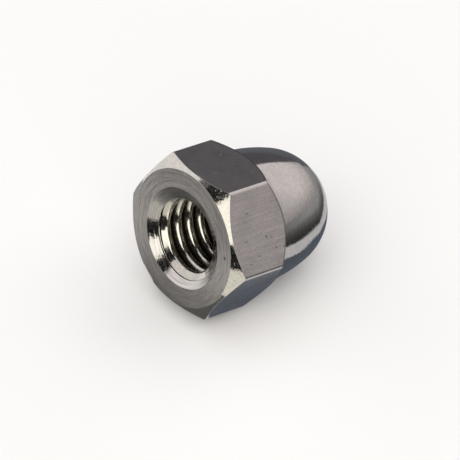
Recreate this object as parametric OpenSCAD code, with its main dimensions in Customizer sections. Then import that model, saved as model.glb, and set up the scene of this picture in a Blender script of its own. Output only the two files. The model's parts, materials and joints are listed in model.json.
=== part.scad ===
// Domed cap nut, M6: one solid, turned from hexagon bar and tapped from one end.
// It lies as it comes to rest, on the rear edge of one flat and on the side of the dome, with the
// mouth of the blind hole towards -Y. Z = 0 is the surface it lies on, and X = Y = 0 its middle.
// The thread's ridges are left to the finish: the bore here has the thread's minor diameter.

/* [Hexagon] */
// Width across two opposite flats
across_flats = 10; // [8:0.1:13]
// Height of the hexagon along the nut's axis
hex_height = 5; // [3.5:0.1:6.5]
// Radius of the six long edges of the drawn bar
edge_radius = 0.33; // [0.1:0.01:0.8]

/* [Turned ends of the hexagon] */
// How far the rim of the bearing face lies inside the flats
bearing_face_inset = 0.2; // [0.05:0.05:0.6]
// Angle between the bearing face and the front chamfer
front_chamfer_angle = 34; // [15:1:50]
// How far the shoulder behind the hexagon lies inside the flats
shoulder_inset = 0.225; // [0.05:0.025:0.6]
// Angle between the shoulder and the rear chamfer
rear_chamfer_angle = 46.5; // [30:0.5:55]

/* [Dome] */
// How far the dome, where it starts, lies inside the shoulder
dome_inset = 0.15; // [0.05:0.05:0.6]
// How much less the radius of the dome's tip is than the radius of the dome where it starts
tip_reduction = 0.375; // [0.1:0.025:0.9]
// Length of the nut from the bearing face to the tip
total_height = 11.7; // [10.5:0.1:16]

/* [Blind hole] */
// Minor diameter of the thread
minor_d = 5; // [4:0.05:6.5]
// Depth of the bore, from the bearing face to where the drill point starts
bore_depth = 8; // [4:0.1:9.6]
// Included angle of the drill point
drill_point_angle = 118; // [90:1:140]
// Diameter of the countersink in the bearing face
countersink_d = 7; // [5.5:0.1:9]
// Included angle of the countersink
countersink_angle = 120; // [80:1:140]

/* [Hidden] */
$fn = 96;
// How far a cutter runs past the surface it cuts
overcut = 1;
// How far an arc stands proud of the line or arc that it runs into, so that the two cross cleanly
blend = 0.0005;

apothem = across_flats / 2;
sharp_corner_r = apothem / cos(30);
bearing_face_r = apothem - bearing_face_inset;
shoulder_r = apothem - shoulder_inset;
dome_r = shoulder_r - dome_inset;
tip_radius = dome_r - tip_reduction;
bore_r = minor_d / 2;
countersink_r = countersink_d / 2;

// The dome's section is two arcs that meet with one tangent: a side arc that leaves the shoulder
// square to it, and a tip arc centred on the axis. That gives the side arc its radius.
tip_centre = total_height - tip_radius;
tip_rise = tip_centre - hex_height;
touching_r = tip_radius - blend;
side_radius = (dome_r ^ 2 + tip_rise ^ 2 - touching_r ^ 2) / (2 * (dome_r - touching_r));
side_centre = dome_r - side_radius;
join_angle = asin(tip_rise / (side_radius - touching_r));
join_height = tip_centre + tip_radius * sin(join_angle);

// Where the rear chamfer crosses the middle of a flat
flat_end = hex_height - shoulder_inset * tan(rear_chamfer_angle);

// Angle of the axis to the surface, for a nut that rests on that point and on a circle in the
// dome's section, whose centre lies at a height on the axis and a distance off it
function resting_angle(radius, centre_height, centre_r) =
    let (across = apothem - centre_r, along = centre_height - flat_end)
    acos(radius / norm([across, along])) - atan2(along, across);

angle_on_side = resting_angle(side_radius, hex_height, side_centre);
angle_on_tip = resting_angle(tip_radius, tip_centre, 0);
lying_angle = angle_on_side < join_angle ? angle_on_side : angle_on_tip;

// The lying nut's reach along Y and the height of its mouth's centre, with that centre at Y = 0
reach_front = -bearing_face_r * sin(lying_angle);
reach_back = tip_centre * cos(lying_angle) + tip_radius;
mouth_height = apothem * cos(lying_angle) + flat_end * sin(lying_angle);

// Section of the bar: a hexagon with a flat square to +Y, and corners that are arcs
module bar_section() {
    half_flat = (apothem - edge_radius) * tan(30);
    corner_centre = (apothem - edge_radius) / cos(30);
    polygon([
        for (k = [0:5], side = [-1, 1])
            let (a = 60 * k + 30)
            [apothem * cos(a) - side * half_flat * sin(a), apothem * sin(a) + side * half_flat * cos(a)]
    ]);
    for (k = [0:5]) rotate(60 * k) translate([corner_centre, 0]) circle(edge_radius + blend);
}

// Half section of the turned form: bearing face, chamfer, bar, chamfer, shoulder and dome
module turned_section() {
    polygon([
        [0, 0],
        [bearing_face_r, 0],
        [sharp_corner_r, (sharp_corner_r - bearing_face_r) * tan(front_chamfer_angle)],
        [sharp_corner_r, hex_height - (sharp_corner_r - shoulder_r) * tan(rear_chamfer_angle)],
        [shoulder_r, hex_height],
        [0, hex_height]
    ]);
    intersection() {
        translate([side_centre, hex_height]) circle(side_radius);
        translate([0, hex_height - overcut]) square([apothem, join_height - hex_height + overcut]);
    }
    intersection() {
        translate([0, tip_centre]) circle(tip_radius);
        translate([0, hex_height]) square([apothem, total_height]);
    }
}

// Half section of the blind hole: countersink, bore and drill point
module hole_section() {
    countersink_slope = tan(countersink_angle / 2);
    polygon([
        [0, -overcut],
        [countersink_r + overcut * countersink_slope, -overcut],
        [bore_r, (countersink_r - bore_r) / countersink_slope],
        [bore_r, bore_depth],
        [0, bore_depth + bore_r / tan(drill_point_angle / 2)]
    ]);
}

// The nut with its axis along +Z and its bearing face at Z = 0
module upright_nut() {
    difference() {
        intersection() {
            linear_extrude(total_height + overcut) bar_section();
            rotate_extrude() turned_section();
        }
        rotate_extrude() hole_section();
    }
}

module cap_nut() {
    color([0.62, 0.61, 0.6])
        translate([0, -(reach_front + reach_back) / 2, mouth_height])
            rotate([-90 - lying_angle, 0, 0])
                upright_nut();
}

cap_nut();
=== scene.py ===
import json
import math

import bpy
import numpy as np
from mathutils import Matrix, Vector


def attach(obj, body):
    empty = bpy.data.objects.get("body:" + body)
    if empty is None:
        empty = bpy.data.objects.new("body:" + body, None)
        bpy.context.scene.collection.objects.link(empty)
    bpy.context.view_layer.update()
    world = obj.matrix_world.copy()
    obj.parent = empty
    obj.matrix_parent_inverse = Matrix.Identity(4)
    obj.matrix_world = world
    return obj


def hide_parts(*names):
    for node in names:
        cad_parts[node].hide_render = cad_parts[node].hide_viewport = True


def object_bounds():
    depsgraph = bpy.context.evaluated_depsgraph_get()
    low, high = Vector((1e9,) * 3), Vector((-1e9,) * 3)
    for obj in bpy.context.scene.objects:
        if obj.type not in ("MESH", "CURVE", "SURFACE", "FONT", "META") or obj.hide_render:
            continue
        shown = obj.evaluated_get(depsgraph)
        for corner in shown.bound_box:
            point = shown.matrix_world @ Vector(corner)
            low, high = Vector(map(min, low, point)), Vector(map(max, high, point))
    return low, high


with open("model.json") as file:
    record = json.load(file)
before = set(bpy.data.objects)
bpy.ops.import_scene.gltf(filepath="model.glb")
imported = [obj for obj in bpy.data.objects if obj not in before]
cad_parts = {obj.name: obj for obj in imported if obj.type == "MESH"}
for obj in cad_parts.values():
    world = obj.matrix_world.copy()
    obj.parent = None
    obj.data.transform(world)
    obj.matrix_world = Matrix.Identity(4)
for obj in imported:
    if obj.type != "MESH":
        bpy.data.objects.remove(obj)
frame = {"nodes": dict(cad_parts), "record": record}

cad_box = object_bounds()

MM = 0.001
# Lengths read from the CAD mesh that differ by less than this are the same length
HAIR = 0.002 * MM
# Points of the new mesh that agree to this become one point
GRID = 1e-5 * MM

# ---------------------------------------------------------------------------------------------
# Sizes, read from the frame. A place on the nut is given by its height along the axis, from the
# bearing face towards the dome, its distance from the axis, and its angle round it.
# ---------------------------------------------------------------------------------------------

mounts = {mount["name"]: mount for mount in frame["record"]["mounts"]}


def mount_place(name):
    return Vector(mounts[name]["pos_m"])


axis = -Vector(mounts["thread"]["axis"]).normalized()
flat_normal = Vector(mounts["spanner_flat"]["axis"]).normalized()
thread_middle = mount_place("thread")
thread_middle_height = (thread_middle - mount_place("bearing_face")).dot(axis)
mouth = thread_middle - thread_middle_height * axis
flat_distance = (mount_place("spanner_flat") - mouth).dot(flat_normal)

# The nut's own frame: z along the axis, and y from it towards the flat it lies on
placement = Matrix.Translation(mouth) @ Matrix(
    (axis.cross(flat_normal), -flat_normal, axis)
).transposed().to_4x4()

cad_mesh = frame["nodes"]["cap_nut"].data
own_frame = placement.inverted()
cad_points = np.array([own_frame @ vertex.co for vertex in cad_mesh.vertices])
cad_height = cad_points[:, 2]
cad_radius = np.hypot(cad_points[:, 0], cad_points[:, 1])


def near(values, value):
    return np.abs(values - value) < HAIR


on_bearing_face = cad_radius[near(cad_height, 0)]
countersink_r = on_bearing_face.min()
bearing_face_r = on_bearing_face.max()
total_height = cad_height.max()
minor_r = mounts["thread"]["dims"]["r_mm"] * MM
half_thread_length = mounts["thread"]["dims"]["length_mm"] * MM / 2
countersink_depth = thread_middle_height - half_thread_length
bore_depth = thread_middle_height + half_thread_length
on_axis = cad_height[near(cad_radius, 0)]
drill_tip = on_axis[on_axis < total_height - HAIR].max()

# Half the angle that one side of the hexagon takes up round the axis
HALF_SIDE = math.pi / 6
# A sharp corner is this many times as far out as a flat
sharp_corner = 1 / math.cos(HALF_SIDE)
edge_radius = (flat_distance * sharp_corner - cad_radius.max()) / (sharp_corner - 1)
on_flats = cad_height[near(cad_radius, flat_distance)]
front_of_flats = on_flats.min()
rear_of_flats = on_flats.max()

behind = (cad_height > rear_of_flats + HAIR) & (cad_radius < flat_distance - HAIR)
shoulder_r = cad_radius[behind].max()
hex_height = cad_height[behind & near(cad_radius, shoulder_r)].min()
on_shoulder = behind & near(cad_height, hex_height) & (cad_radius < shoulder_r - HAIR)
dome_r = cad_radius[on_shoulder].max()
front_slope = front_of_flats / (flat_distance - bearing_face_r)
rear_slope = (hex_height - rear_of_flats) / (flat_distance - shoulder_r)

# The dome's section is a side arc and a tip arc with one tangent. A point on the tip gives its arc.
near_tip = np.argmin(np.abs(cad_height - (total_height - MM / 2)))
drop = total_height - cad_height[near_tip]
tip_radius = (cad_radius[near_tip] ** 2 + drop ** 2) / (2 * drop)
tip_centre = total_height - tip_radius
tip_rise = tip_centre - hex_height
side_radius = (dome_r ** 2 + tip_rise ** 2 - tip_radius ** 2) / (2 * (dome_r - tip_radius))
side_centre = dome_r - side_radius
join_angle = math.asin(tip_rise / (side_radius - tip_radius))

# ---------------------------------------------------------------------------------------------
# The thread, which the CAD leaves out: a right-hand 60 degree groove round the bore.
# ---------------------------------------------------------------------------------------------

HALF_THREAD_ANGLE = math.pi / 6
pitch = 1.0 * MM
thread_depth = 0.5 * MM
major_r = minor_r + thread_depth
root_width = pitch / 8
flank_width = thread_depth * math.tan(HALF_THREAD_ANGLE)
# Height of a groove's middle at the first column, which is beside the corner towards +x
thread_start = 0.13 * MM
run_out = 1.2 * MM
thread_end = bore_depth - 0.8 * MM

# How far the softened edges reach into the faces on each side
crest_reach = 0.145 * MM
root_reach = 0.035 * MM
edge_reach = 0.012 * MM
fillet_reach = 0.05 * MM

# Steps round one long edge of the bar and across one flat
EDGE_STEPS = 6
FLAT_STEPS = 34
# Steps round a softened edge, and round one of the thread's
SOFT_STEPS = 3
THREAD_SOFT_STEPS = 6
# Rows up the dome's side and over its tip
SIDE_ROWS = 16
TIP_ROWS = 34
# Halvings that find where the countersink meets the thread
HALVINGS = 40


def column_angles():
    """The angles of the mesh's columns, and the bar's outline at each: its distance from the
    axis and the angle that it faces. The last column is the first again."""
    corner_centre = (flat_distance - edge_radius) / math.cos(HALF_SIDE)
    half_flat = (flat_distance - edge_radius) * math.tan(HALF_SIDE)
    outline = []
    for side in range(6):
        for step in range(EDGE_STEPS):
            turn = (2 * step / EDGE_STEPS - 1) * HALF_SIDE
            place = (corner_centre + edge_radius * math.cos(turn), edge_radius * math.sin(turn))
            outline.append((side, place, turn))
        for step in range(FLAT_STEPS):
            across = half_flat * (2 * step / FLAT_STEPS - 1)
            place = (
                flat_distance * math.cos(HALF_SIDE) - across * math.sin(HALF_SIDE),
                flat_distance * math.sin(HALF_SIDE) + across * math.cos(HALF_SIDE),
            )
            outline.append((side, place, HALF_SIDE))
    outline.append((6, *outline[0][1:]))
    angle = np.array([2 * HALF_SIDE * side + math.atan2(y, x) for side, (x, y), _ in outline])
    distance = np.array([math.hypot(x, y) for _, (x, y), _ in outline])
    facing = np.array([2 * HALF_SIDE * side + turn for side, _, turn in outline])
    return angle, distance, facing


angles, bar_r, bar_facing = column_angles()
columns = len(angles)
cosines = np.append(np.cos(angles[:-1]), math.cos(angles[0]))
sines = np.append(np.sin(angles[:-1]), math.sin(angles[0]))
turns = (angles - angles[0]) / (2 * math.pi)


def around(outward, along):
    """A point or direction at every column, from its parts away from the axis and along it."""
    return np.stack([outward * cosines, outward * sines, along + 0 * cosines], axis=-1)


def unit(directions):
    return directions / np.linalg.norm(directions, axis=-1, keepdims=True)


def sloping(outward, along):
    return unit(around(outward, along))


radial = around(1.0, 0.0)
axial = around(0.0, 1.0)
flat_facing = np.stack([np.cos(bar_facing), np.sin(bar_facing), 0 * bar_facing], axis=-1)

# ---------------------------------------------------------------------------------------------
# The mesh is made of sheets, and a sheet of rows: a point and a normal at every column, and the
# material of the strip from that row to the next.
# ---------------------------------------------------------------------------------------------

FACE, CHAMFER, DRAWN, DOME, THREAD, COUNTERSINK = range(6)
sheets = []


def add_sheet(rows):
    points, normals, materials = zip(*rows)
    sheets.append((np.array(points), unit(np.array(normals)), materials[:-1]))


def softened(points, reaches, stretches, soft_steps):
    """Rows along a profile with softened corners. Each point has a reach, and each stretch
    between two points has a normal, a number of strips and a material."""
    rows = []
    for k, (normal, strips, material) in enumerate(stretches):
        start, end = points[k], points[k + 1]
        along = unit(end - start)
        first = start + along * reaches[k]
        last = end - along * reaches[k + 1]
        for step in range(strips + 1):
            share = step / strips
            rows.append((first + (last - first) * share, normal, material))
        if k + 1 < len(stretches):
            # A curve that leaves this stretch and meets the next with one tangent
            beyond = end + unit(points[k + 2] - end) * reaches[k + 1]
            next_normal, _, next_material = stretches[k + 1]
            for step in range(1, soft_steps):
                share = step / soft_steps
                point = (1 - share) ** 2 * last + 2 * share * (1 - share) * end + share ** 2 * beyond
                facing = unit((1 - share) * normal + share * next_normal)
                rows.append((point, facing, next_material))
    return rows


def thread_profile():
    """One pitch of the thread's section from the middle of a groove: its distances along the
    axis and from it, and the two parts of the normal, away from the axis and along it."""
    groove = root_width / 2
    crest = groove + flank_width
    points = np.array([
        (0, major_r),
        (groove, major_r),
        (crest, minor_r),
        (pitch - crest, minor_r),
        (pitch - groove, major_r),
        (pitch, major_r),
    ])
    reaches = [0, root_reach, crest_reach, crest_reach, root_reach, 0]
    inward = np.array([-1, 0])
    towards_mouth = np.array([-math.sin(HALF_THREAD_ANGLE), -math.cos(HALF_THREAD_ANGLE)])
    towards_end = towards_mouth * (1, -1)
    stretches = [
        (inward, 1, THREAD),
        (towards_mouth, 3, THREAD),
        (inward, 1, THREAD),
        (towards_end, 3, THREAD),
        (inward, 1, THREAD),
    ]
    rows = softened(points, reaches, stretches, THREAD_SOFT_STEPS)
    return np.array([(*point, *normal) for point, normal, _ in rows])


thread_rows = thread_profile()
# Height of the first groove's middle at every column
lead = thread_start + pitch * turns


def faded(radius, height):
    """A distance that returns to the bore's own where the thread runs out."""
    return minor_r + (radius - minor_r) * np.clip((thread_end - height) / run_out, 0, 1)


def thread_at(height):
    """The thread's distance from the axis at a height on every column, and its normal's parts."""
    along = (height - lead) % pitch
    radius, outward, upward = (
        np.interp(along, thread_rows[:, 0], thread_rows[:, part]) for part in (1, 2, 3)
    )
    return faded(radius, height), outward, upward


countersink_slope = (countersink_r - minor_r) / countersink_depth


def thread_mouth():
    """The height on each column where the countersink ends and the thread's surface starts."""
    low = 0 * angles
    # The cone is narrower than the thread before it gets this deep
    high = low + 1.2 * countersink_depth
    for _ in range(HALVINGS):
        middle = (low + high) / 2
        cone = countersink_r - countersink_slope * middle
        in_cone = cone > thread_at(middle)[0]
        low = np.where(in_cone, middle, low)
        high = np.where(in_cone, high, middle)
    high[-1] = high[0]
    return high


mouth_height = thread_mouth()
mouth_radius = countersink_r - countersink_slope * mouth_height


def thread_normal(outward, upward):
    """A helix leans its surface's normal round the axis by the pitch over one turn."""
    lean = -upward * pitch / (2 * math.pi * minor_r)
    round_axis = np.stack([-lean * sines, lean * cosines, 0 * cosines], axis=-1)
    return unit(around(outward, upward) + round_axis)


def add_thread():
    rows = []
    for turn in range(-1, math.ceil(thread_end / pitch) + 1):
        for along, radius, outward, upward in thread_rows[1:]:
            height = lead + turn * pitch + along
            before = height < mouth_height
            beyond = height > thread_end
            height = np.clip(height, mouth_height, thread_end)
            _, mouth_outward, mouth_upward = thread_at(height)
            radius = np.where(beyond, minor_r, faded(radius, height))
            radius = np.where(before, mouth_radius, radius)
            outward = np.where(before, mouth_outward, outward)
            upward = np.where(before, mouth_upward, upward)
            rows.append((around(radius, height), thread_normal(outward, upward), THREAD))
    add_sheet(rows[::-1])


def add_outside():
    front_height = (bar_r - bearing_face_r) * front_slope
    rear_height = hex_height - (bar_r - shoulder_r) * rear_slope
    dome_start = side_centre + math.sqrt(side_radius ** 2 - fillet_reach ** 2)
    # Each corner's distance from the axis, its height and its reach
    corners = [
        (mouth_radius, mouth_height, 0),
        (countersink_r, 0, edge_reach),
        (bearing_face_r, 0, edge_reach),
        (bar_r, front_height, edge_reach),
        (bar_r, rear_height, edge_reach),
        (shoulder_r, hex_height, edge_reach),
        (dome_r, hex_height, fillet_reach),
        (dome_start, hex_height + fillet_reach, 0),
    ]
    stretches = [
        (sloping(-1, -countersink_slope), 5, COUNTERSINK),
        (-axial, 8, FACE),
        (sloping(front_slope, -1), 4, CHAMFER),
        (flat_facing, 10, DRAWN),
        (sloping(rear_slope, 1), 3, CHAMFER),
        (axial, 2, CHAMFER),
        (radial, 1, DOME),
    ]
    points = [around(radius, height) for radius, height, _ in corners]
    add_sheet(softened(points, [reach for _, _, reach in corners], stretches, SOFT_STEPS))


def arc_rows(centre_radius, centre_height, arc_radius, arc_angles):
    rows = []
    for angle in arc_angles:
        outward, upward = math.cos(angle), math.sin(angle)
        place = around(centre_radius + arc_radius * outward, centre_height + arc_radius * upward)
        rows.append((place, around(outward, upward), DOME))
    return rows


def add_dome():
    side_start = math.asin(fillet_reach / side_radius)
    side_angles = np.linspace(side_start, join_angle, SIDE_ROWS)
    tip_angles = np.linspace(join_angle, math.pi / 2, TIP_ROWS)[1:]
    rows = arc_rows(side_centre, hex_height, side_radius, side_angles)
    rows += arc_rows(0, tip_centre, tip_radius, tip_angles)
    rows[-1] = (around(0, total_height), *rows[-1][1:])
    add_sheet(rows)


def add_drilled_end():
    drill_slope = minor_r / (drill_tip - bore_depth)
    points = [around(minor_r, thread_end), around(minor_r, bore_depth), around(0, drill_tip)]
    stretches = [(-radial, 2, THREAD), (sloping(-1, -drill_slope), 6, THREAD)]
    add_sheet(softened(points, [0, edge_reach, 0], stretches, SOFT_STEPS)[::-1])


def mesh_from_sheets(name):
    """One closed mesh from the sheets: points in the same place become one, and each corner of
    a face keeps its own sheet's normal, so an edge between two sheets stays crisp."""
    points = np.concatenate([sheet[0].reshape(-1, 3) for sheet in sheets])
    normals = np.concatenate([sheet[1].reshape(-1, 3) for sheet in sheets])
    cells = np.round(points / GRID).astype(np.int64)
    _, first, own = np.unique(cells, axis=0, return_index=True, return_inverse=True)
    own = own.reshape(-1)
    faces = []
    corner_normals = []
    face_materials = []
    base = 0
    for sheet_points, _, materials in sheets:
        for row, material in enumerate(materials):
            for column in range(columns - 1):
                near_left = base + row * columns + column
                far_left = near_left + columns
                ring = (near_left, near_left + 1, far_left + 1, far_left)
                kept = [k for i, k in enumerate(ring) if own[k] != own[ring[i - 1]]]
                if len({own[k] for k in kept}) < 3:
                    continue
                faces.append([int(own[k]) for k in kept])
                corner_normals += [normals[k] for k in kept]
                face_materials.append(material)
        base += sheet_points.shape[0] * columns
    # The mesh lies as the nut does, so its object keeps its place at the frame's origin
    turn = np.array(placement.to_3x3()).T
    mesh = bpy.data.meshes.new(name)
    mesh.from_pydata((points[first] @ turn + np.array(mouth)).tolist(), [], faces)
    mesh.polygons.foreach_set("material_index", face_materials)
    mesh.polygons.foreach_set("use_smooth", [True] * len(faces))
    mesh.normals_split_custom_set((np.array(corner_normals) @ turn).tolist())
    mesh.update()
    return mesh


def new_object(name, data):
    made = bpy.data.objects.new(name, data)
    bpy.context.scene.collection.objects.link(made)
    return made


add_outside()
add_dome()
add_thread()
add_drilled_end()
nut = new_object("nut", mesh_from_sheets("nut"))
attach(nut, "root")
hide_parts("cap_nut")


# ---------------------------------------------------------------------------------------------
# Materials
# ---------------------------------------------------------------------------------------------

class Nodes:
    """A material's nodes, with places on the object in millimetres."""

    def __init__(self, material):
        self.material = material
        self.tree = material.node_tree
        self.shader = self.tree.nodes["Principled BSDF"]
        self.coordinates = self.tree.nodes.new("ShaderNodeTexCoord")
        split = self.tree.nodes.new("ShaderNodeSeparateXYZ")
        self.tree.links.new(self.in_frame("Object", "POINT"), split.inputs[0])
        self.x, self.y, self.z = (self.maths("MULTIPLY", split.outputs[k], 1 / MM) for k in range(3))
        self.radius = self.length(self.x, self.y)

    def in_frame(self, name, kind):
        """Coordinates in the frame that the pattern follows, which is the object's own here.
        kind is POINT for places and VECTOR for directions, and is not used here."""
        return self.coordinates.outputs[name]

    def maths(self, operation, first, second=None):
        node = self.tree.nodes.new("ShaderNodeMath")
        node.operation = operation
        for socket, value in zip(node.inputs, (first, second)):
            if isinstance(value, (int, float)):
                socket.default_value = value
            elif value is not None:
                self.tree.links.new(value, socket)
        return node.outputs[0]

    def total(self, *values):
        result = values[0]
        for value in values[1:]:
            result = self.maths("ADD", result, value)
        return result

    def length(self, *parts):
        """The length of a vector, from its parts."""
        squares = [self.maths("MULTIPLY", part, part) for part in parts]
        return self.maths("SQRT", self.total(*squares))

    def window(self, value, low, high, at_low=0.0, at_high=1.0):
        """A number that goes from at_low to at_high while the value goes from low to high."""
        node = self.tree.nodes.new("ShaderNodeMapRange")
        node.inputs["From Min"].default_value = low
        node.inputs["From Max"].default_value = high
        node.inputs["To Min"].default_value = at_low
        node.inputs["To Max"].default_value = at_high
        self.tree.links.new(value, node.inputs["Value"])
        return node.outputs["Result"]

    def spread(self, noise, at_low, at_high):
        """Noise, with the range that most of it lies in spread from at_low to at_high."""
        return self.window(noise, 0.3, 0.7, at_low, at_high)

    def noise(self, parts, detail=2.0, roughness=0.5):
        """Noise of three (coordinate, features in a millimetre) parts."""
        vector = self.tree.nodes.new("ShaderNodeCombineXYZ")
        for socket, (coordinate, fineness) in zip(vector.inputs, parts):
            self.tree.links.new(self.maths("MULTIPLY", coordinate, fineness), socket)
        node = self.tree.nodes.new("ShaderNodeTexNoise")
        node.inputs["Scale"].default_value = 1
        node.inputs["Detail"].default_value = detail
        node.inputs["Roughness"].default_value = roughness
        self.tree.links.new(vector.outputs[0], node.inputs["Vector"])
        return node.outputs[0]

    def isotropic(self, fineness, detail=2.0):
        """Noise that is as fine in every direction."""
        return self.noise([(self.x, fineness), (self.y, fineness), (self.z, fineness)], detail)


# The colour that a film of brown oil adds
OIL = (0.055, 0.038, 0.02)


class Steel(Nodes):
    """Bright steel whose pattern follows the nut's own axes."""

    def __init__(self, name, colour, roughness):
        material = bpy.data.materials.new(name)
        material.use_nodes = True
        super().__init__(material)
        self.shader.inputs["Metallic"].default_value = 1
        self.colour = colour
        self.roughness = roughness
        off_axis = self.maths("MAXIMUM", self.radius, 0.01)
        self.cosine = self.maths("DIVIDE", self.x, off_axis)
        self.sine = self.maths("DIVIDE", self.y, off_axis)
        self.relief = None

    def in_frame(self, name, kind):
        """Coordinates in the nut's own frame."""
        turned = self.tree.nodes.new("ShaderNodeMapping")
        turned.inputs["Location"].default_value = own_frame.to_translation()
        turned.inputs["Rotation"].default_value = own_frame.to_euler()
        turned.vector_type = kind
        self.tree.links.new(self.coordinates.outputs[name], turned.inputs["Vector"])
        return turned.outputs[0]

    def rings(self, coordinate, fineness, round_about, detail=2.0):
        """Turned lines: fineness is features in a millimetre across them, and round_about is
        features in a radian along them."""
        parts = [(coordinate, fineness), (self.cosine, round_about), (self.sine, round_about)]
        return self.noise(parts, detail)

    def marks(self, places, size):
        """One at each place and nought beyond its size, all in millimetres."""
        found = None
        for place in places:
            away = [self.maths("SUBTRACT", part, at) for part, at in zip((self.x, self.y, self.z), place)]
            mark = self.window(self.length(*away), size / 2, size, 1, 0)
            found = mark if found is None else self.maths("MAXIMUM", found, mark)
        return found

    def bump(self, height, depth):
        """Adds a relief whose full depth is given in millimetres."""
        node = self.tree.nodes.new("ShaderNodeBump")
        node.inputs["Distance"].default_value = depth * MM
        self.tree.links.new(height, node.inputs["Height"])
        if self.relief is not None:
            self.tree.links.new(self.relief, node.inputs["Normal"])
        self.relief = node.outputs[0]
        self.tree.links.new(self.relief, self.shader.inputs["Normal"])

    def scaled(self, colour, amount):
        node = self.tree.nodes.new("ShaderNodeVectorMath")
        node.operation = "SCALE"
        node.inputs[0].default_value = colour
        self.tree.links.new(amount, node.inputs["Scale"])
        return node.outputs[0]

    def finish(self, shade, rough, oil=None):
        """shade scales the colour, rough is added to the roughness and oil is a brown film."""
        colour = self.scaled(self.colour, shade)
        if oil is not None:
            added = self.tree.nodes.new("ShaderNodeVectorMath")
            self.tree.links.new(colour, added.inputs[0])
            self.tree.links.new(self.scaled(OIL, oil), added.inputs[1])
            colour = added.outputs[0]
        self.tree.links.new(colour, self.shader.inputs["Base Color"])
        self.tree.links.new(self.maths("ADD", rough, self.roughness), self.shader.inputs["Roughness"])
        nut.data.materials.append(self.material)


def face_steel():
    """The turned bearing face: rings, short scratches round the axis, and small pits."""
    steel = Steel("face_steel", (0.63, 0.6, 0.58), 0.22)
    lines = steel.rings(steel.radius, 13, 0.6, 3)
    broad = steel.rings(steel.radius, 3, 0.8)
    scratches = steel.rings(steel.radius, 9, 4, 3)
    grain = steel.isotropic(13, 3)
    pits = steel.window(steel.isotropic(3.2, 1), 0.74, 0.79)
    pits = steel.maths("MAXIMUM", pits, steel.marks([(4.1, -0.9, 0)], 0.14))
    steel.bump(lines, 0.0034)
    steel.bump(grain, 0.0018)
    steel.bump(pits, -0.01)
    shade = steel.total(
        steel.spread(lines, 0.82, 1.04),
        steel.spread(broad, -0.05, 0.05),
        steel.spread(scratches, -0.17, 0.17),
        steel.spread(grain, -0.12, 0.12),
        steel.maths("MULTIPLY", pits, -0.6),
    )
    steel.finish(shade, steel.spread(broad, 0, 0.08))


def chamfer_steel():
    """The turned chamfers and shoulder, which are smooth apart from faint rings and a mottle."""
    steel = Steel("chamfer_steel", (0.65, 0.63, 0.585), 0.05)
    mottle = steel.isotropic(5, 3)
    specks = steel.window(steel.isotropic(8, 1), 0.68, 0.74)
    steel.bump(steel.rings(steel.radius, 7, 1.5, 2), 0.0012)
    steel.bump(mottle, 0.0035)
    steel.bump(specks, 0.004)
    shade = steel.window(mottle, 0.25, 0.75, 0.88, 1.05)
    steel.finish(shade, steel.window(mottle, 0.3, 0.8, 0, 0.1))


def drawn_steel():
    """The flats and edges of the drawn bar: lines along it, streaks, dashes, pits, specks with
    painted glints, and a darker line along each rear edge.
    """
    steel = Steel("drawn_steel", (0.63, 0.6, 0.59), 0.15)
    lines = steel.noise([(steel.x, 15), (steel.y, 15), (steel.z, 0.15)], 4, 0.65)
    streaks = steel.noise([(steel.x, 7), (steel.y, 7), (steel.z, 0.1)])
    dashes = steel.noise([(steel.x, 11), (steel.y, 11), (steel.z, 1.6)])
    pits = steel.window(steel.isotropic(3.4, 1), 0.72, 0.77)
    large_pits = steel.marks([(4.6, -2, 3), (4.6, -2.05, 1.25), (5.1, -1.2, 3.7)], 0.11)
    pits = steel.maths("MAXIMUM", pits, large_pits)
    # Raised specks, which the shade below also lightens as painted glints
    specks = steel.window(steel.isotropic(6, 1), 0.73, 0.78)
    large_specks_and_glints = steel.marks([(-1.1, -5, 3.3), (0.9, -5, 3.1), (0.4, -5, 1.6)], 0.09)
    specks = steel.maths("MAXIMUM", specks, large_specks_and_glints)
    # The flats are darker along their rear edge
    cone = steel.maths("ADD", steel.z, steel.maths("MULTIPLY", steel.radius, rear_slope))
    to_edge = steel.maths("SUBTRACT", (hex_height + shoulder_r * rear_slope) / MM, cone)
    steel.bump(lines, 0.002)
    steel.bump(pits, -0.008)
    steel.bump(specks, 0.004)
    shade = steel.total(
        steel.spread(streaks, 0.91, 1.06),
        steel.spread(steel.isotropic(0.8), -0.07, 0.07),
        steel.window(to_edge, 0.05, 0.13, -0.5, 0),
        steel.spread(steel.isotropic(9, 3), -0.1, 0.1),
        # Painted highlights: the specks are lightened as glints
        steel.maths("MULTIPLY", specks, 0.2),
        steel.window(dashes, 0.6, 0.72, 0, -0.16),
        steel.maths("MULTIPLY", pits, -0.35),
    )
    steel.finish(shade, steel.spread(streaks, 0.08, 0))


def dome_steel():
    """The polished dome: hairlines round the axis, smears and small pits."""
    steel = Steel("dome_steel", (0.63, 0.605, 0.595), 0.07)
    # The angle at the tip's centre runs along the dome's section
    along = steel.maths("ARCTAN2", steel.radius, steel.maths("SUBTRACT", steel.z, tip_centre / MM))
    section = steel.maths("MULTIPLY", along, tip_radius / MM)
    smears = steel.rings(section, 2, 1.5, 2)
    pits = steel.window(steel.isotropic(2.6, 1), 0.74, 0.8)
    steel.bump(steel.rings(section, 12, 1.5, 3), 0.004)
    steel.bump(steel.rings(section, 8, 6, 2), 0.006)
    steel.bump(pits, -0.004)
    shade = steel.total(
        steel.spread(smears, 0.97, 1.02),
        steel.spread(steel.isotropic(6, 3), -0.08, 0.08),
    )
    steel.finish(shade, steel.window(smears, 0.3, 0.75, 0, 0.05))


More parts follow.
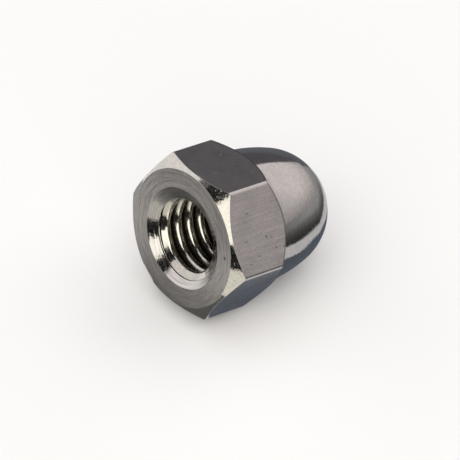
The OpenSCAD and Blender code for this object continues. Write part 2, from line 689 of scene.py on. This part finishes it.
def thread_steel():
    """The thread and the drilled end: bright crests over dark grooves, with a brown oil film and painted
    shade.
    """
    steel = Steel("thread_steel", (0.9, 0.86, 0.78), 0.06)
    mottle = steel.isotropic(4, 3)
    steel.bump(steel.rings(steel.maths("ADD", steel.radius, steel.z), 7, 2, 3), 0.002)
    steel.bump(mottle, 0.002)
    # The grooves from about 1 mm in are darkened nearly to black: partly a brown oil film, partly painted
    # shade
    groove = steel.window(steel.radius, minor_r / MM + 0.14, minor_r / MM + 0.34)
    groove = steel.maths("MULTIPLY", groove, steel.window(steel.z, 0.8, 1.15))
    shade = steel.window(groove, 0, 1, 1, 0.03)
    # Painted shade: the flanks that face the hole's closed end are darkened too
    facing = steel.tree.nodes.new("ShaderNodeSeparateXYZ")
    steel.tree.links.new(steel.in_frame("Normal", "VECTOR"), facing.inputs[0])
    shade = steel.maths("MULTIPLY", shade, steel.window(facing.outputs[2], 0.2, 0.6, 1, 0.1))
    # Painted shade: the thread is darker on its lowest side
    shade = steel.maths("MULTIPLY", shade, steel.window(steel.sine, 0.3, 0.8, 1, 0.64))
    shade = steel.maths("MULTIPLY", shade, steel.window(mottle, 0.25, 0.75, 0.85, 1.05))
    rough = steel.total(steel.window(mottle, 0.3, 0.8, 0, 0.1), steel.maths("MULTIPLY", groove, 0.2))
    steel.finish(shade, rough, groove)


def countersink_steel():
    """The turned countersink: broad waves and lines round it, a few of them dark."""
    steel = Steel("countersink_steel", (0.65, 0.625, 0.6), 0.05)
    lines = steel.rings(steel.radius, 8, 2, 3)
    mottle = steel.isotropic(4, 3)
    cuts = steel.rings(steel.radius, 4, 0.7, 1)
    steel.bump(lines, 0.009)
    steel.bump(mottle, 0.006)
    steel.bump(cuts, 0.012)
    # The side next to the top flat is rougher, and painted shade makes it darker
    dull_and_painted_shade = steel.window(steel.sine, -0.75, -0.45, 0.24, 0)
    # Painted shade darkens the side towards the nut's +x, from a little above the middle down
    painted_shade_towards_x = steel.maths(
        "MULTIPLY",
        steel.window(steel.cosine, 0.62, 0.86, 0, -0.45),
        steel.window(steel.sine, -0.3, 0.1),
    )
    shade = steel.total(
        steel.window(lines, 0.25, 0.75, 0.8, 1.06),
        steel.window(cuts, 0.62, 0.7, 0, -0.2),
        steel.maths("MULTIPLY", dull_and_painted_shade, -1.8),
        painted_shade_towards_x,
    )
    steel.finish(shade, steel.maths("ADD", dull_and_painted_shade, steel.window(mottle, 0.3, 0.8, 0, 0.14)))


# In the order of the mesh's material numbers
for make_steel in (face_steel, chamfer_steel, drawn_steel, dome_steel, thread_steel, countersink_steel):
    make_steel()

# ---------------------------------------------------------------------------------------------
# Floor, light and camera
# ---------------------------------------------------------------------------------------------

# Colours of light
WHITE = (1, 1, 1)
CREAM = (1, 0.97, 0.88)
IVORY = (1, 0.98, 0.95)
BLUSH = (1, 0.96, 0.95)
ROSE = (1, 0.94, 0.92)
COOL = (0.95, 1.0, 1.12)
BLUE = (0.84, 0.95, 1.15)
# Colour and level of the dark room round the studio
ROOM_COLOUR = (1.0, 0.96, 1.05)
ROOM = 0.104
# Level of the plain pale ground, and where the floor starts and ends its fade into it
SURROUND = 0.93
FADE_START = 0.07
FADE_END = 0.3
FLOOR_WHITE = (0.93, 0.93, 0.93)

# Steps round the floor and backdrop, and along and up a card in the sky
ROUND_STEPS = 96
SKY_STEPS = 32
SKY_ROWS = 16
# Heights of the floor's cards in millimetres. Where two overlap, the higher one shows.
CARD_HEIGHT = 0.1
LOW_CARD_HEIGHT = 0.05
# How many times further out a card ends that runs out over the floor
FAR_OUT = 30
# A spot keeps its own level this far out, in millimetres
SPOT_CORE = 1

# The photo's view: the lens and the sensor's width in millimetres, and angles in degrees
LENS = 312.3
SENSOR_WIDTH = 36
CAMERA_AZIMUTH = -40.78
CAMERA_ELEVATION = 41.02
CAMERA_DISTANCE = 266.4 * MM
# The picture's middle lies left of the nut's and below it
AIM_RIGHT = -0.764 * MM
AIM_UP = -1.268 * MM

centre = (Vector(cad_box[0]) + Vector(cad_box[1])) / 2


def direction(azimuth, elevation):
    """A direction from its angle round from +x towards +y and its angle above the floor."""
    turn, rise = math.radians(azimuth), math.radians(elevation)
    return Vector((math.cos(turn) * math.cos(rise), math.sin(turn) * math.cos(rise), math.sin(rise)))


def plain_material(name, colour, emission=0.0):
    """A matt colour, or a black one that gives off light."""
    material = bpy.data.materials.new(name)
    material.use_nodes = True
    shader = material.node_tree.nodes["Principled BSDF"]
    shader.inputs["Base Color"].default_value = (*colour, 1)
    shader.inputs["Roughness"].default_value = 1
    shader.inputs["Specular IOR Level"].default_value = 0
    if emission:
        shader.inputs["Base Color"].default_value = (0, 0, 0, 1)
        shader.inputs["Emission Color"].default_value = (*colour, 1)
        shader.inputs["Emission Strength"].default_value = emission
        material.cycles.emission_sampling = "NONE"
    return material


def staged(name, points, faces, material):
    """A surface of the scene, which isn't part of the nut."""
    mesh = bpy.data.meshes.new(name)
    mesh.from_pydata(points, [], faces)
    mesh.materials.append(material)
    made = new_object(name, mesh)
    return made


def round_sheet(name, rings, azimuths, steps, material):
    """A sheet round the upright line through the nut, from rings of (radius, height)."""
    start, end = (math.radians(azimuth) for azimuth in azimuths)
    points = []
    for radius, height in rings:
        for step in range(steps + 1):
            turn = start + (end - start) * step / steps
            points.append((centre.x + radius * math.cos(turn), centre.y + radius * math.sin(turn), height))
    faces = []
    for ring in range(len(rings) - 1):
        for step in range(steps):
            near_left = ring * (steps + 1) + step
            far_left = near_left + steps + 1
            faces.append((near_left, near_left + 1, far_left + 1, far_left))
    made = staged(name, points, faces, material)
    made.data.polygons.foreach_set("use_smooth", [True] * len(faces))
    return made


def pale_surround(name):
    """A white floor round the nut that fades into a plain pale ground, which only the camera,
    reflections and glass see."""
    material = plain_material(name, FLOOR_WHITE)
    nodes = Nodes(material)
    seen = nodes.tree.nodes.new("ShaderNodeLightPath")
    ground = nodes.tree.nodes.new("ShaderNodeEmission")
    mixed = nodes.tree.nodes.new("ShaderNodeMixShader")
    ground.inputs["Strength"].default_value = SURROUND
    rays = nodes.maths("MAXIMUM", seen.outputs["Is Camera Ray"], seen.outputs["Is Glossy Ray"])
    rays = nodes.maths("MAXIMUM", rays, seen.outputs["Is Transmission Ray"])
    distance = nodes.window(nodes.radius, FADE_START / MM, FADE_END / MM)
    nodes.tree.links.new(nodes.maths("MULTIPLY", rays, distance), mixed.inputs[0])
    nodes.tree.links.new(nodes.shader.outputs[0], mixed.inputs[1])
    nodes.tree.links.new(ground.outputs[0], mixed.inputs[2])
    nodes.tree.links.new(mixed.outputs[0], nodes.tree.nodes["Material Output"].inputs["Surface"])
    material.cycles.emission_sampling = "NONE"
    return material


def panel(name, azimuth, elevation, width, height, level, colour=WHITE, distance=1.2):
    """A soft panel that faces the nut. Its width and height are angles seen from the nut, and
    a white surface that reflects all of it shows its level."""
    light = bpy.data.lights.new(name, "AREA")
    light.shape = "RECTANGLE"
    light.size = 2 * distance * math.tan(math.radians(width / 2))
    light.size_y = 2 * distance * math.tan(math.radians(height / 2))
    light.energy = level * math.pi * light.size * light.size_y
    light.color = colour
    lamp = new_object(name, light)
    towards = direction(azimuth, elevation)
    lamp.location = centre + towards * distance
    lamp.rotation_euler = towards.to_track_quat("Z", "Y").to_euler()
    lamp.visible_camera = False


def card_material(name, colour, level):
    """level is a number, or a function that makes one that changes over the card."""
    if not callable(level):
        return plain_material(name, colour, level)
    fade = Nodes(plain_material(name, colour, 1.0))
    fade.tree.links.new(level(fade), fade.shader.inputs["Emission Strength"])
    return fade.material


def only_in_reflections(card):
    """Hides a card from all but reflections, so that its glow is a painted reflection. It keeps
    the pale floor or the dark room out of the steel."""
    card.visible_camera = False
    card.visible_diffuse = False
    card.visible_transmission = False
    card.visible_shadow = False


def floor_card(name, outline, level, colour=WHITE, height=CARD_HEIGHT):
    """A flat card just above the floor, from its outline in millimetres."""
    points = [(x * MM, y * MM, height * MM) for x, y in outline]
    faces = [list(range(len(points)))]
    only_in_reflections(staged(name, points, faces, card_material(name, colour, level)))


def ring_card(name, outline, level, colour=WHITE):
    """A card that runs from an outline to far out on the floor."""
    far = [(x * FAR_OUT, y * FAR_OUT) for x, y in outline]
    floor_card(name, outline + far[::-1], level, colour)


def sky_card(name, azimuths, elevations, level, colour=WHITE, distance=0.25):
    """A card on a sphere round the nut, between two azimuths and two elevations."""
    low, high = elevations
    rings = []
    for row in range(SKY_ROWS + 1):
        rise = math.radians(low + (high - low) * row / SKY_ROWS)
        rings.append((distance * math.cos(rise), centre.z + distance * math.sin(rise)))
    material = card_material(name, colour, level)
    only_in_reflections(round_sheet(name, rings, azimuths, SKY_STEPS, material))


def spot(fade, x, y, reach, level, surround):
    """A level at one place that fades into another level."""
    away = fade.length(fade.maths("SUBTRACT", fade.x, x), fade.maths("SUBTRACT", fade.y, y))
    return fade.window(away, SPOT_CORE, reach, level, surround)


def front_left_level(fade):
    """Two pale spots on a grey card."""
    grey = 0.225
    far_spot = spot(fade, -12.5, -14.5, 8, 0.54, grey)
    near_spot = spot(fade, -4.4, -15.8, 4.5, 0.6, grey)
    return fade.maths("MAXIMUM", far_spot, near_spot)


def back_level(fade):
    """Darkest just beyond the pale floor, and lighter far out and towards the left."""
    turn = fade.maths("ARCTAN2", fade.y, fade.x)
    more = fade.window(turn, math.radians(36), math.radians(60), 0.16, 0.3)
    out = fade.maths("ADD", fade.maths("MULTIPLY", fade.window(fade.radius, 14, 36), more), 0.045)
    left = fade.window(turn, math.radians(76), math.radians(100), 0, 0.28)
    return fade.maths("MAXIMUM", out, left)


def soft_back_level(fade):
    """Bright at the left, and fading to the right and downwards."""
    turn = fade.maths("ARCTAN2", fade.y, fade.x)
    rise = fade.maths("DIVIDE", fade.z, fade.radius)
    more = fade.window(turn, math.radians(46), math.radians(74), 0.15, 0.44)
    return fade.maths("ADD", fade.maths("MULTIPLY", more, fade.window(rise, -0.02, 0.26)), 0.37)


floor_rings = [(0.0, 0.0), (0.72, 0.0)]
round_sheet("floor", floor_rings, (0, 360), ROUND_STEPS, pale_surround("floor_white"))
# The backdrop's foot overlaps the floor's rim, and its top curves up
backdrop_rings = [(0.7, 0.0), (0.74, 0.01), (0.76, 0.03), (0.77, 0.06)]
backdrop = round_sheet("backdrop", backdrop_rings, (0, 360), ROUND_STEPS, pale_surround("backdrop_white"))
backdrop.visible_shadow = False

panel("overhead", 0, 90, 94, 94, 0.87, distance=0.9)
panel("back_panel", 80, 32, 70, 58, 0.75, ROSE)
panel("front_left_panel", 208, 18, 74, 40, 0.92, BLUSH)
panel("front_panel", 304, 32, 84, 50, 1.45, CREAM)

# Painted reflections of the floor: the steel shows a pale floor only close to the nut, and mostly a darker
# one further off
floor_card(
    "near_floor",
    [(2, -4), (13, -4), (20, 4), (13, 14), (4, 17), (-6, 17), (-3, 8)],
    0.62, height=LOW_CARD_HEIGHT,
)
floor_card(
    "shade_right",
    [(2.2, -5), (4.8, -5), (5.2, 1), (7, 2.2), (5.7, 4.2), (5.4, 7), (3.6, 9.2), (-0.5, 10.5), (1.5, 2)],
    0.125, BLUE,
)
floor_card(
    "shade_front",
    [(-7.5, -6.4), (-5, -5.6), (2.6, -5.4), (5.8, -9.2), (5, -10.4), (2, -9.2), (-1, -8.6), (-5, -9)],
    0.12,
)
floor_card("left", [(-4.8, -5.5), (-8, -6.2), (-17, -7), (-24, -3), (-17, 2), (-5, -2)], 0.36)
floor_card(
    "front_left",
    [(1.5, -9.2), (-1, -8.6), (-5, -9), (-7.5, -6.4), (-8.6, -7), (-60, -60), (-40, -85), (-3, -24),
     (-1.8, -13), (1.5, -12)],
    front_left_level, IVORY,
)
floor_card("front_strip", [(1.5, -12), (-1.8, -13), (-3, -24), (3, -30), (7, -30), (3, -11)], 0.64, CREAM)
floor_card(
    "front_right",
    [(5.8, -9.2), (5, -10.4), (3, -11), (3, -30), (20, -30), (22, -10), (8, -6)],
    0.93, CREAM, LOW_CARD_HEIGHT,
)

back_edge = [(18, -2), (11.2, 4.5), (9.3, 6.6), (8, 8.6), (6.4, 11.4), (4, 14.8), (0, 16.3), (-6, 16)]
front_edge = [(-1, -25), (3.8, -28), (9, -27.5), (14.8, -27), (19, -22), (20, -12), (18, -2)]
ring_card("dark_back", back_edge, back_level)
ring_card("dark_front", front_edge, 0.015)
ring_card("dark_left", [(-6, 16), (-9, 11), (-12, 6), (-20, 4)], 0.14, COOL)

# Painted reflections of the room round the studio and of the sky, which only the steel sees
sky_card("horizon_left", (114, 168), (-2, 12), ROOM, ROOM_COLOUR)
sky_card("horizon_front", (264, 372), (-2, 8), 0.01)
sky_card("dark_front_sky", (246, 263), (10, 24), 0.01)
sky_card("dark_front_high", (246, 268), (24, 57), 0.01)
sky_card("dark_top", (262, 372), (57, 88), 0.01)
sky_card("dark_top_left", (114, 180), (42, 88), ROOM, ROOM_COLOUR)
sky_card("soft_back", (12, 114), (-2, 62), soft_back_level, ROSE, 0.24)

world = bpy.data.worlds.new("studio")
world.use_nodes = True
world.node_tree.nodes["Background"].inputs["Color"].default_value = (*ROOM_COLOUR, 1)
world.node_tree.nodes["Background"].inputs["Strength"].default_value = ROOM
bpy.context.scene.world = world

camera_data = bpy.data.cameras.new("camera")
camera_data.sensor_width = SENSOR_WIDTH
camera_data.lens = LENS
camera_data.clip_start = 0.01
camera = new_object("camera", camera_data)
bpy.context.scene.camera = camera
towards_camera = direction(CAMERA_AZIMUTH, CAMERA_ELEVATION)
camera_turn = towards_camera.to_track_quat("Z", "Y")
aim = centre + camera_turn @ Vector((AIM_RIGHT, AIM_UP, 0))
camera.location = aim + towards_camera * CAMERA_DISTANCE
camera.rotation_euler = camera_turn.to_euler()
bpy.context.scene.view_settings.view_transform = "Standard"
